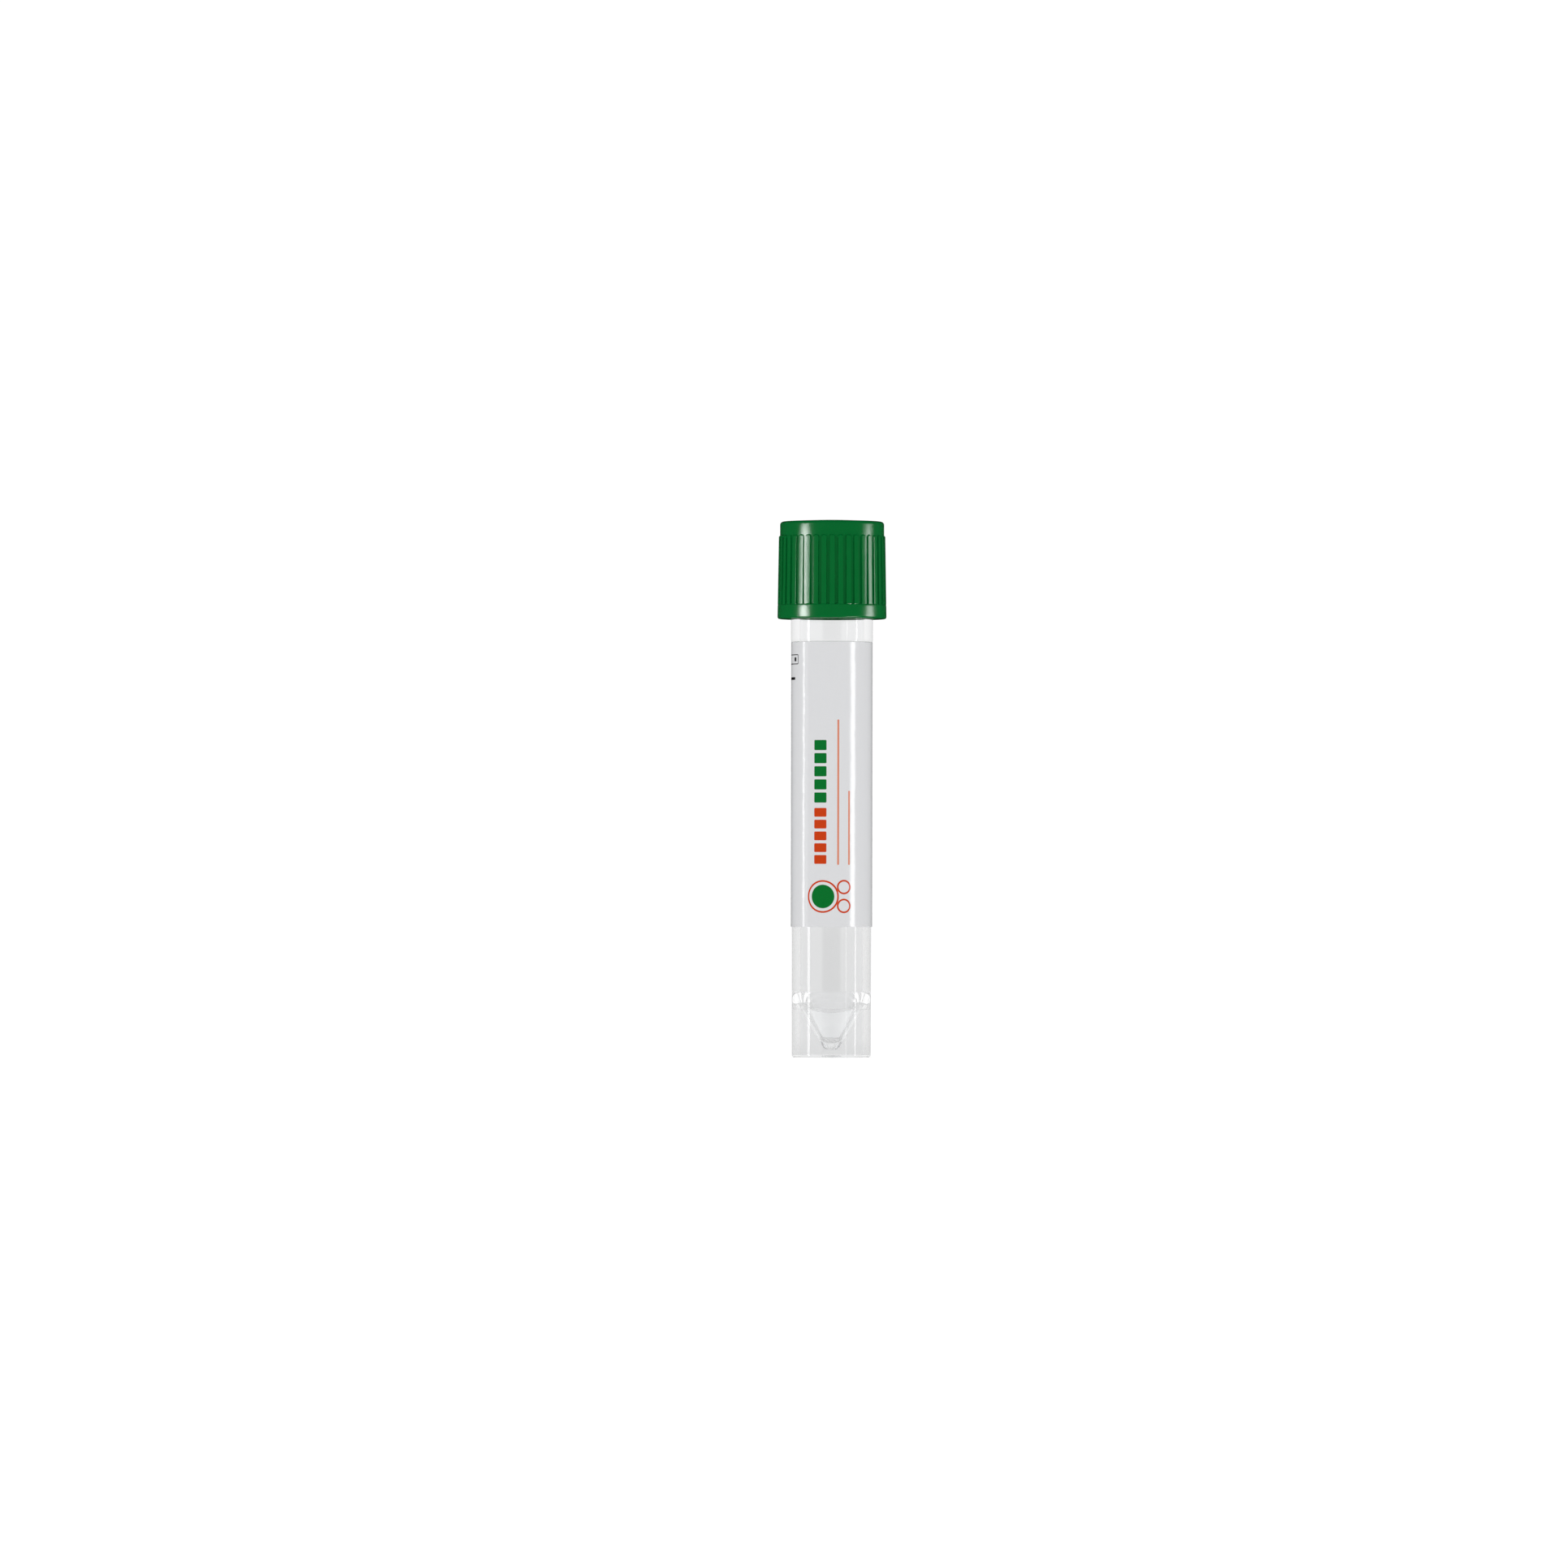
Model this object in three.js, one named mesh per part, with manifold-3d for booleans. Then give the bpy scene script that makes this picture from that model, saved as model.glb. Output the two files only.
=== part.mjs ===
// Specimen swab tube: a clear skirted tube with a film label, a soft seal and a ribbed screw cap.
// Millimetres, +Z up. The origin is the centre of the ring that the tube stands on.

import * as THREE from 'three';
import { mergeVertices } from 'three/addons/utils/BufferGeometryUtils.js';
import Module from 'manifold-3d';

const wasm = await Module();
wasm.setup();

// Barrel
const barrelLength = 65.3; // from the base to the cap's mouth
const baseDiameter = 11.76;
const panelDiameter = 11.95; // at the label's upper edge; the barrel narrows evenly down to the base
const headStep = 0.1425; // how far the barrel stands out above the label, on each side
const barrelWall = 1.15;
const baseCorner = 0.3;

// Conical bottom, inside a skirt that is open underneath
const footClearance = 1.2; // from the base up to the cone's flat end
const coneFlatDiameter = 2.14;
const tipWall = 1.2; // from the cone's flat end up to the lowest point of the bore
const tipRadius = 0.9;
const hollowHeight = 7.2; // top of the hollow between the cone and the skirt
const hollowLedge = 0.25; // flat ring at the top of the hollow
const shoulderRise = 2.55; // from the top of the hollow up to where the bore turns into the cone
const skirtWall = 1.0;

// Neck and thread
const neckShoulder = 1.2; // from the cap's mouth up to the neck
const neckStep = 0.15;
const neckWall = 1.0; // at the rim
const rimFillet = 0.3;
const threadPitch = 3.0;
const threadHeight = 0.55;
const threadRootWidth = 1.2;
const threadCrestWidth = 0.5;
const threadTurns = 1.75;
const threadInset = 2.2; // from the rim down to the middle of the thread's upper end
const threadFade = 0.12; // turns over which each end of a thread runs out
const threadPlay = 0.2; // from a thread's crest to the wall that it faces
const flankPlay = 0.15;

// Cap
const capHeight = 14.7;
const capTop = 1.3;
const capWall = 1.04; // at the band round the top
const capCornerWidth = 1.8;
const capCornerDrop = 0.9;
const capTopBand = 2.2;
const capMouthBand = 2.15;
const capMouthChamfer = 0.35;
const capMouthFillet = 0.25;
const ribCount = 40;
const ribHeight = 0.18; // at the band round the top
const ribWidth = 0.8;
const ribRunout = 0.35;
const ribDraft = 0.9; // degrees
const grooveDraft = 0.4; // degrees
const capThreadTurns = 1.6;
const capThreadInset = 1.8; // from the cap's mouth up to the middle of the thread's lower end

// Plug ring and swab socket, under the cap's top
const plugLength = 4.4;
const plugWall = 0.8;
const plugPlay = 0.08;
const plugChamfer = 0.3;
const socketLength = 7.0;
const socketDiameter = 2.6;
const socketWall = 0.9;
const socketFlare = 0.5;

// Seal washer
const washerThickness = 0.8;
const washerPlay = 0.08; // round the plug ring
const washerOverhang = 0.35; // past the neck
const seatPlay = 0.05; // above and below the washer

// Label
const labelBottom = 19.4;
const labelMargin = 3.5; // bare barrel between the label and the cap's mouth
const labelFilm = 0.08;
const labelUpperPlay = 0.015; // the film grips at its upper edge
const labelLowerPlay = 0.07; // and stands off where the barrel narrows away from it
const labelLap = 2.8; // length of film that lies over its own start, at the back
const lapPlay = 0.02;

// Facets
const barrelFacets = 64;
const capFacets = 80;
const cavityFacets = 48;
const threadFacets = 24; // in each turn
const arcFacets = 4;
const ribFacets = 6;
const sunk = 0.15; // how far a ridge's foot reaches into the wall that carries it

// Sizes and heights that follow
const capMouth = barrelLength;
const overallHeight = capMouth + capHeight;
const capCeiling = overallHeight - capTop;
const rimHeight = capCeiling - washerThickness - 2 * seatPlay;
const neckBottom = capMouth + neckShoulder;
const labelTop = capMouth - labelMargin;
const headRadius = panelDiameter / 2 + headStep;
const neckRadius = headRadius - neckStep;
const capBore = neckRadius + threadHeight + threadPlay;
const capBandRadius = capBore + capWall;
const ribTop = overallHeight - capTopBand;
const mouthBandTop = capMouth + capMouthBand;
const tubeThreadStart = rimHeight - threadInset - threadTurns * threadPitch;
const shoulderHeight = hollowHeight + shoulderRise;
const plugTip = capCeiling - plugLength;
const plugRadius = boreRadius(plugTip) - plugPlay;

function barrelRadius(height) {
  return THREE.MathUtils.mapLinear(height, 0, labelTop, baseDiameter / 2, panelDiameter / 2);
}

function boreRadius(height) {
  const shoulderBore = barrelRadius(shoulderHeight) - barrelWall;
  const rimBore = neckRadius - neckWall;
  return THREE.MathUtils.mapLinear(height, shoulderHeight, rimHeight, shoulderBore, rimBore);
}

// The cap's outside leans in towards the top: its ribs by one draft, the grooves' floors by another.
function drafted(radius, degrees, height) {
  return radius + Math.tan(THREE.MathUtils.degToRad(degrees)) * (ribTop - height);
}

// A profile point is (radius, height).
function point(radius, height) {
  return new THREE.Vector2(radius, height);
}

function arc(radius, height, reach, rise, from, to) {
  return new THREE.EllipseCurve(radius, height, reach, rise, from, to, to < from).getPoints(arcFacets);
}

function turned(profile, facets) {
  return new THREE.LatheGeometry(profile, facets).rotateX(Math.PI / 2);
}

// A section, x outward and y up, is drawn out straight and then wrapped round the axis. place gives
// the radius, angle and height of each of its points.
function wrapped(section, turns, steps, place) {
  const strip = new THREE.ExtrudeGeometry(section, { depth: turns, steps, bevelEnabled: false });
  const vertex = strip.attributes.position;
  for (let i = 0; i < vertex.count; i++) {
    const [radius, angle, height] = place(vertex.getX(i), vertex.getY(i), vertex.getZ(i));
    vertex.setXYZ(i, radius * Math.cos(angle), radius * Math.sin(angle), height);
  }
  return strip;
}

function toSolid(geometry) {
  geometry.deleteAttribute('normal');
  geometry.deleteAttribute('uv');
  const merged = mergeVertices(geometry);
  const index = merged.index.array;
  const triangles = [];
  for (let i = 0; i < index.length; i += 3) {
    const [a, b, c] = index.slice(i, i + 3);
    if (a !== b && b !== c && c !== a) triangles.push(a, b, c); // those at a pole have no area
  }
  const vertProperties = new Float32Array(merged.attributes.position.array);
  const triVerts = new Uint32Array(triangles);
  return new wasm.Manifold(new wasm.Mesh({ numProp: 3, vertProperties, triVerts }));
}

function toGeometry(solid) {
  const mesh = solid.getMesh();
  const geometry = new THREE.BufferGeometry();
  geometry.setAttribute('position', new THREE.BufferAttribute(mesh.vertProperties, 3));
  geometry.setIndex(new THREE.BufferAttribute(mesh.triVerts, 1));
  geometry.computeVertexNormals();
  return geometry;
}

// A right-hand thread, standing outward or inward from a wall, whose ends fade into the wall.
// startTurn is where it starts round the axis, in turns.
function threadRidge(wallRadius, outward, startHeight, startTurn, turns) {
  const section = new THREE.Shape([
    point(0, -threadRootWidth / 2),
    point(1, -threadCrestWidth / 2),
    point(1, threadCrestWidth / 2),
    point(0, threadRootWidth / 2),
  ]);
  const foot = wallRadius - outward * sunk;
  const fadedCrest = wallRadius - outward * sunk / 2;
  const fullCrest = wallRadius + outward * threadHeight;
  const steps = Math.round(turns * threadFacets);
  return toSolid(wrapped(section, turns, steps, (x, y, z) => {
    const along = outward > 0 ? turns - z : z; // keeps the faces outside
    const fade = THREE.MathUtils.clamp(Math.min(along, turns - along) / threadFade, 0, 1);
    const crest = THREE.MathUtils.lerp(fadedCrest, fullCrest, fade);
    const radius = THREE.MathUtils.lerp(foot, crest, x);
    return [radius, 2 * Math.PI * (startTurn + along), startHeight + threadPitch * along + y];
  }));
}

function tube() {
  const skirtBore = barrelRadius(0) - skirtWall;
  const tipCentre = footClearance + tipWall + tipRadius;
  const rise = shoulderHeight - tipCentre;
  const reach = Math.hypot(boreRadius(shoulderHeight), rise);
  // Half the cone's angle, such that it touches the round tip.
  const coneAngle = Math.acos(tipRadius / reach) - Math.atan2(rise, boreRadius(shoulderHeight));

  const profile = [
    point(0, footClearance),
    point(coneFlatDiameter / 2, footClearance),
    point(skirtBore - hollowLedge, hollowHeight),
    point(skirtBore, hollowHeight),
    point(skirtBore, baseCorner),
    point(skirtBore + baseCorner, 0),
    ...arc(barrelRadius(0) - baseCorner, baseCorner, baseCorner, baseCorner, -Math.PI / 2, 0),
    point(barrelRadius(labelTop), labelTop + headStep),
    point(headRadius, labelTop + 2 * headStep),
    point(headRadius, neckBottom - neckStep),
    point(neckRadius, neckBottom),
    ...arc(neckRadius - rimFillet, rimHeight - rimFillet, rimFillet, rimFillet, 0, Math.PI / 2),
    ...arc(boreRadius(rimHeight) + rimFillet, rimHeight - rimFillet, rimFillet, rimFillet,
      Math.PI / 2, Math.PI),
    point(boreRadius(shoulderHeight), shoulderHeight),
    ...arc(0, tipCentre, tipRadius, tipRadius, -coneAngle, -Math.PI / 2),
  ];
  profile.at(-1).x = 0;
  const body = toSolid(turned(profile, barrelFacets));
  return toGeometry(body.add(threadRidge(neckRadius, 1, tubeThreadStart, 0, threadTurns)));
}

function capOutside() {
  const mouthRadius = drafted(capBandRadius + ribHeight, ribDraft, capMouth);
  const mouthBandRadius = drafted(capBandRadius + ribHeight, ribDraft, mouthBandTop - ribRunout);
  return toSolid(turned([
    point(0, capMouth),
    ...arc(mouthRadius - capMouthFillet, capMouth + capMouthFillet, capMouthFillet, capMouthFillet,
      -Math.PI / 2, 0),
    point(mouthBandRadius, mouthBandTop - ribRunout),
    point(drafted(capBandRadius, grooveDraft, mouthBandTop), mouthBandTop),
    point(capBandRadius, ribTop),
    ...arc(capBandRadius - capCornerWidth, overallHeight - capCornerDrop, capCornerWidth, capCornerDrop,
      0, Math.PI / 2),
    point(0, overallHeight),
  ], capFacets));
}

// The space under the cap's top, with the plug ring and the swab socket standing in it.
function capCavity() {
  const socketRadius = socketDiameter / 2;
  const socketTip = capCeiling - socketLength;
  const below = capMouth - capMouthChamfer;
  return toSolid(turned([
    point(0, below),
    point(capBore + 2 * capMouthChamfer, below),
    point(capBore, capMouth + capMouthChamfer),
    point(capBore, capCeiling),
    point(plugRadius, capCeiling),
    point(plugRadius, plugTip + 2 * plugChamfer),
    point(plugRadius - plugChamfer, plugTip),
    point(plugRadius - plugWall, plugTip),
    point(plugRadius - plugWall, capCeiling),
    point(socketRadius + socketWall, capCeiling),
    point(socketRadius + socketWall, socketTip),
    point(socketRadius + socketFlare, socketTip),
    point(socketRadius, socketTip + 2 * socketFlare),
    point(socketRadius, capCeiling),
    point(0, capCeiling),
  ], cavityFacets));
}

// One grip rib, with a rounded crest that runs out at both ends.
function capRib() {
  const outline = new THREE.EllipseCurve(0, 0, 1, ribWidth / 2, -Math.PI / 2, Math.PI / 2);
  const section = new THREE.Shape(outline.getPoints(ribFacets));
  const rows = [mouthBandTop - ribRunout, ribTop - ribRunout, ribTop];
  const bar = new THREE.ExtrudeGeometry(section, { depth: 2, steps: 2, bevelEnabled: false });
  const vertex = bar.attributes.position;
  for (let i = 0; i < vertex.count; i++) {
    const height = rows[Math.round(vertex.getZ(i))];
    const foot = drafted(capBandRadius - sunk, grooveDraft, height);
    const crest = drafted(capBandRadius + ribHeight, ribDraft, height);
    const crestHere = height === ribTop ? capBandRadius - sunk / 2 : crest;
    vertex.setX(i, THREE.MathUtils.lerp(foot, crestHere, vertex.getX(i)));
    vertex.setZ(i, height);
  }
  return toSolid(bar);
}

function screwCap() {
  const rib = capRib();
  let shell = capOutside();
  for (let i = 0; i < ribCount; i++) {
    shell = shell.add(rib.rotate([0, 0, (360 / ribCount) * i]));
  }
  // The cap's thread runs just under the neck's, on the same helix.
  const drop = (threadRootWidth + threadCrestWidth) / 2 + flankPlay;
  const start = capMouth + capThreadInset;
  const startTurn = (start + drop - tubeThreadStart) / threadPitch;
  const thread = threadRidge(capBore, -1, start, startTurn, capThreadTurns);
  return toGeometry(shell.subtract(capCavity()).add(thread));
}

function sealWasher() {
  const inner = plugRadius + washerPlay;
  const outer = neckRadius + washerOverhang;
  const bottom = rimHeight + seatPlay;
  const half = washerThickness / 2;
  return turned([
    point(inner, bottom),
    point(outer - half / 2, bottom),
    point(outer, bottom + half),
    point(outer - half / 2, bottom + washerThickness),
    point(inner, bottom + washerThickness),
    point(inner, bottom),
  ], cavityFacets);
}

// The film goes once round the barrel and then laps over its own start.
function label() {
  const height = labelTop - labelBottom;
  const section = new THREE.Shape([
    point(0, 0),
    point(labelFilm, 0),
    point(labelFilm, height),
    point(0, height),
  ]);
  const lapTurns = labelLap / (Math.PI * panelDiameter);
  const turns = 1 + lapTurns;
  const steps = Math.round(turns * barrelFacets);
  const cornerRoom = 1 / Math.cos(Math.PI * turns / steps); // its flats clear the barrel's corners
  return wrapped(section, turns, steps, (x, y, z) => {
    const along = turns - z;
    const play = THREE.MathUtils.mapLinear(y, 0, height, labelLowerPlay, labelUpperPlay);
    const lift = THREE.MathUtils.smoothstep(along, 1 - lapTurns, 1) * (labelFilm + lapPlay);
    const radius = (barrelRadius(labelBottom + y) + play) * cornerRoom + lift + x;
    return [radius, 2 * Math.PI * (along + (1 - 2 * lapTurns) / 4), labelBottom + y];
  });
}

const model = new THREE.Group();

function addPart(name, geometry, finish) {
  const mesh = new THREE.Mesh(geometry, new THREE.MeshStandardMaterial(finish));
  mesh.name = name;
  model.add(mesh);
}

const clearPlastic = { color: 0xe9eef0, roughness: 0.06, metalness: 0, transparent: true, opacity: 0.35 };
const whiteFilm = { color: 0xdfe2e4, roughness: 0.25, metalness: 0 };
const softSilicone = { color: 0xd9d8d2, roughness: 0.6, metalness: 0 };
const greenPlastic = { color: 0x0a6030, roughness: 0.42, metalness: 0 };

addPart('tube', tube(), clearPlastic);
addPart('label', label(), whiteFilm);
addPart('seal_washer', sealWasher(), softSilicone);
addPart('screw_cap', screwCap(), greenPlastic);

export default model;
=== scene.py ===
# Specimen swab tube: a clear skirted tube with a film label, a soft seal and a ribbed screw cap.
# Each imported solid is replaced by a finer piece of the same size. Metres, +Z up, and the printed
# front faces -Y.

import math

import bmesh
import bpy
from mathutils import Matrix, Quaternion, Vector


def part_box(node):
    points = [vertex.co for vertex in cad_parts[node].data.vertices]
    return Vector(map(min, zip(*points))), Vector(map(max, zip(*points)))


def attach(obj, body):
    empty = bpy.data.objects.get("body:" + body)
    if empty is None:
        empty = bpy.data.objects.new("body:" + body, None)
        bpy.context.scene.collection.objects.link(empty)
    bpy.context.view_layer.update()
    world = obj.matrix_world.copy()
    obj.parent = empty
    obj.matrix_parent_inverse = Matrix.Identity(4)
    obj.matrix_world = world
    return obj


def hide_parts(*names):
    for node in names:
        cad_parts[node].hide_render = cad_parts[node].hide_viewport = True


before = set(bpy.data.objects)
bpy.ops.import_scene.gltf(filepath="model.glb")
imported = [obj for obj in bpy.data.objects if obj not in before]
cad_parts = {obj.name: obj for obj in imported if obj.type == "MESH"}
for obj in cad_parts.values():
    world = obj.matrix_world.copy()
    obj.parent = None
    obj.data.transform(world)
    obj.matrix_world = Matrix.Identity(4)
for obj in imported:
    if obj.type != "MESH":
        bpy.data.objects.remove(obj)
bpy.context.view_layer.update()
mm = 0.001
samePlace = 1e-6  # metres
fullTurn = 2 * math.pi
print("frame loaded:", ", ".join(sorted(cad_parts)))

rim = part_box("tube")[1].z / mm
labelLow, labelHigh = [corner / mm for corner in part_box("label")]
washerLow, washerHigh = [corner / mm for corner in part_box("seal_washer")]
capLow, capHigh = [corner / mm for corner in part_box("screw_cap")]


def startPiece(name):
    # an empty mesh at the origin, open for editing
    bpy.ops.object.select_all(action='DESELECT')
    bpy.ops.object.add(type='MESH')
    piece = bpy.context.object
    piece.name = name
    piece.data.name = name
    bpy.ops.object.mode_set(mode='EDIT')
    bpy.ops.mesh.select_mode(type='VERT')
    return piece


def selectWhere(test):
    # selects the vertices of the open mesh whose place passes the test
    mesh = bmesh.from_edit_mesh(bpy.context.object.data)
    for vertex in mesh.verts:
        vertex.select = test(vertex.co)
    mesh.select_flush_mode()
    bmesh.update_edit_mesh(bpy.context.object.data)


def cornerReach(before, corner, after, rounding):
    # how far from a corner its rounding begins
    arriving = Vector(corner[:2]) - Vector(before[:2])
    leaving = Vector(after[:2]) - Vector(corner[:2])
    return rounding * math.tan(arriving.angle(leaving) / 2)


def drawProfile(points, roundSteps=6):
    # a wire in the XZ plane through points of (radius, height, corner rounding, its steps), in
    # millimetres
    radius, height = points[0][:2]
    bpy.ops.mesh.primitive_plane_add(size=mm, location=(radius * mm, 0, height * mm))
    bpy.ops.mesh.merge(type='CENTER')
    for here, there in zip(points, points[1:]):
        step = ((there[0] - here[0]) * mm, 0, (there[1] - here[1]) * mm)
        bpy.ops.mesh.extrude_region_move(TRANSFORM_OT_translate={"value": step})
    for before, corner, after in zip(points, points[1:], points[2:]):
        if len(corner) < 3:
            continue
        spot = Vector((corner[0] * mm, 0, corner[1] * mm))
        reach = cornerReach(before, corner, after, corner[2])
        selectWhere(lambda co: (co - spot).length < samePlace)
        steps = corner[3] if len(corner) > 3 else roundSteps
        bpy.ops.mesh.bevel(offset=reach * mm, segments=steps, affect='VERTICES')


def turnProfile(columns):
    # spins the drawn wire once round the axis and closes it
    bpy.ops.mesh.select_all(action='SELECT')
    bpy.ops.mesh.spin(steps=columns, angle=fullTurn, center=(0, 0, 0), axis=(0, 0, 1))
    closeMesh()


def closeMesh():
    bpy.ops.mesh.select_all(action='SELECT')
    bpy.ops.mesh.remove_doubles(threshold=samePlace)
    bpy.ops.mesh.normals_make_consistent(inside=False)


def scaleFromAxis(factor):
    bpy.ops.transform.resize(value=(factor, factor, 1), center_override=(0, 0, 0))


def pullOn(angle, lift):
    # extrudes what is selected, turned about the axis and lifted
    bpy.ops.mesh.extrude_region_move(TRANSFORM_OT_translate={"value": (0, 0, lift * mm)})
    bpy.ops.transform.rotate(value=-angle, orient_axis='Z', center_override=(0, 0, 0))


def pickOnly(piece):
    bpy.ops.object.mode_set(mode='OBJECT')
    bpy.ops.object.select_all(action='DESELECT')
    bpy.context.view_layer.objects.active = piece
    piece.select_set(True)


def applyModifier(piece, kind, **settings):
    bpy.ops.object.modifier_add(type=kind)
    modifier = piece.modifiers[-1]
    for name, value in settings.items():
        setattr(modifier, name, value)
    bpy.ops.object.modifier_apply(modifier=modifier.name)


def finishPiece(piece, sharpAngle):
    pickOnly(piece)
    bpy.ops.object.shade_smooth_by_angle(angle=math.radians(sharpAngle))
    # large faces keep their own direction, so broad highlights stay even
    applyModifier(piece, 'WEIGHTED_NORMAL', keep_sharp=True)


def uniteWith(piece, other):
    # joins a second closed solid into the piece
    pickOnly(piece)
    applyModifier(piece, 'BOOLEAN', operation='UNION', solver='EXACT', object=other)
    bpy.data.objects.remove(other)


# the screw thread, on the neck and in the cap
threadSizes = {
    "pitch": 3.0,
    "height": 0.55,
    "rootWidth": 1.2,
    "crestWidth": 0.5,
    "sunk": 0.15,  # how far its foot reaches into the wall
    "fadeTurns": 0.12,
    "stepsEachTurn": 72,
    "flankPlay": 0.15,
}


def makeThread(name, wall, outward, startHeight, startTurn, turns):
    # a right-hand thread: its section is pulled round the axis step by step
    s = threadSizes
    piece = startPiece(name)
    foot = wall - outward * s["sunk"]
    crest = wall + outward * s["height"]
    middle = ((foot + crest) / 2 * mm, 0, startHeight * mm)
    bpy.ops.mesh.primitive_plane_add(size=mm, location=middle, rotation=(math.pi / 2, 0, 0))
    bpy.ops.transform.resize(value=(abs(crest - foot), 1, s["rootWidth"]), center_override=middle)
    selectWhere(lambda co: (co.x - middle[0]) * outward > 0)
    bpy.ops.transform.resize(value=(1, 1, s["crestWidth"] / s["rootWidth"]), center_override=middle)
    bpy.ops.mesh.select_all(action='SELECT')
    bpy.ops.transform.rotate(value=-startTurn * fullTurn, orient_axis='Z',
                             center_override=(0, 0, 0))
    faded = (wall - outward * s["sunk"] / 2) / crest  # where both ends run out
    scaleFromAxis(faded)
    reached = faded
    steps = round(turns * s["stepsEachTurn"])
    fadeSteps = s["fadeTurns"] * s["stepsEachTurn"]
    for step in range(1, steps + 1):
        share = min(step / fadeSteps, (steps - step) / fadeSteps, 1)
        wanted = faded + (1 - faded) * math.sin(share * math.pi / 2)
        pullOn(fullTurn / s["stepsEachTurn"], s["pitch"] / s["stepsEachTurn"])
        scaleFromAxis(wanted / reached)
        reached = wanted
    closeMesh()
    bpy.ops.object.mode_set(mode='OBJECT')
    return piece


# the tube, in millimetres
tubeSizes = {
    "baseRadius": 5.88,
    "panelRadius": 5.975,  # at the label's upper edge
    "headStep": 0.1425,  # from the panel out to the wider head above it
    "headSlope": 3,  # the step's height above the label, in steps
    "headTaper": 0.05,
    "stepGap": 0.05,  # above the label
    "barrelWall": 1.15,
    "baseRounding": 0.3,
    "footClearance": 1.2,
    "flatRadius": 1.07,
    "flatRounding": 0.5,
    "tipWall": 1.2,
    "tipRadius": 1.6,
    "hollowHeight": 7.2,
    "hollowLedge": 0.25,
    "shoulderHeight": 9.75,
    "skirtWall": 1.0,
    "neckRise": 1.2,  # from the cap's mouth up to the neck
    "neckStep": 0.15,
    "neckWall": 1.0,
    "rimRounding": 0.3,
    "threadTurns": 1.75,
    "threadInset": 2.2,  # from the rim down to the thread's upper end
    "edge": 0.08,  # the rounding of small corners
    "columns": 256,
    "sharpAngle": 28,  # degrees
}
head = tubeSizes["panelRadius"] + tubeSizes["headStep"]
neck = head - tubeSizes["neckStep"]
neckThreadStart = rim - tubeSizes["threadInset"] - tubeSizes["threadTurns"] * threadSizes["pitch"]


def barrelRadius(height):
    s = tubeSizes
    return s["baseRadius"] + (s["panelRadius"] - s["baseRadius"]) * height / labelHigh.z


def boreRadius(height):
    s = tubeSizes
    shoulderBore = barrelRadius(s["shoulderHeight"]) - s["barrelWall"]
    rimBore = neck - s["neckWall"]
    share = (height - s["shoulderHeight"]) / (rim - s["shoulderHeight"])
    return shoulderBore + (rimBore - shoulderBore) * share


def makeTube():
    s = tubeSizes
    skirtBore = s["baseRadius"] - s["skirtWall"]
    neckBottom = capLow.z + s["neckRise"]
    boreBottom = s["footClearance"] + s["tipWall"]
    shoulder = (boreRadius(s["shoulderHeight"]), s["shoulderHeight"])
    rise = shoulder[1] - boreBottom - s["tipRadius"]
    # the slope of the cone's bore, such that it touches the round tip
    slope = math.pi / 2 - math.acos(s["tipRadius"] / math.hypot(shoulder[0], rise))
    slope += math.atan2(rise, shoulder[0])
    tip = s["tipRadius"] * math.tan(slope / 2)

    piece = startPiece("clear_tube")
    drawProfile([
        (0, s["footClearance"]),
        (s["flatRadius"], s["footClearance"], s["flatRounding"]),
        (skirtBore - s["hollowLedge"], s["hollowHeight"], s["edge"]),
        (skirtBore, s["hollowHeight"], s["edge"]),
        (skirtBore, s["baseRounding"], s["edge"]),
        (skirtBore + s["baseRounding"], 0, s["edge"]),
        (s["baseRadius"], 0, s["baseRounding"]),
        (s["panelRadius"], labelHigh.z + s["stepGap"]),
        (head - s["headTaper"], labelHigh.z + s["stepGap"], s["headTaper"]),
        (head, labelHigh.z + s["headSlope"] * s["headStep"], s["edge"]),
        (head, neckBottom - s["neckStep"], s["edge"]),
        (neck, neckBottom, s["edge"]),
        (neck, rim, s["rimRounding"]),
        (neck - s["neckWall"], rim, s["rimRounding"]),
        (*shoulder, s["edge"]),
        (tip, boreBottom, s["tipRadius"]),
        (0, boreBottom),
    ])
    turnProfile(s["columns"])
    bpy.ops.object.mode_set(mode='OBJECT')
    thread = makeThread("neck_thread", neck, 1, neckThreadStart, 0, s["threadTurns"])
    uniteWith(piece, thread)
    finishPiece(piece, s["sharpAngle"])
    return piece


tube = makeTube()
print("tube:", len(tube.data.polygons), "faces")


# the label
labelSizes = {
    "sunk": 0.01,  # into the barrel, so that no air lies between them
    "standAtTop": 0.095,
    "standAtFoot": 0.15,
    "lap": 2.8,
    "lapRise": 0.1,
    "rampLength": 0.9,
    "corner": 0.03,
    "columns": 256,
    "sharpAngle": 40,
}


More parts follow.
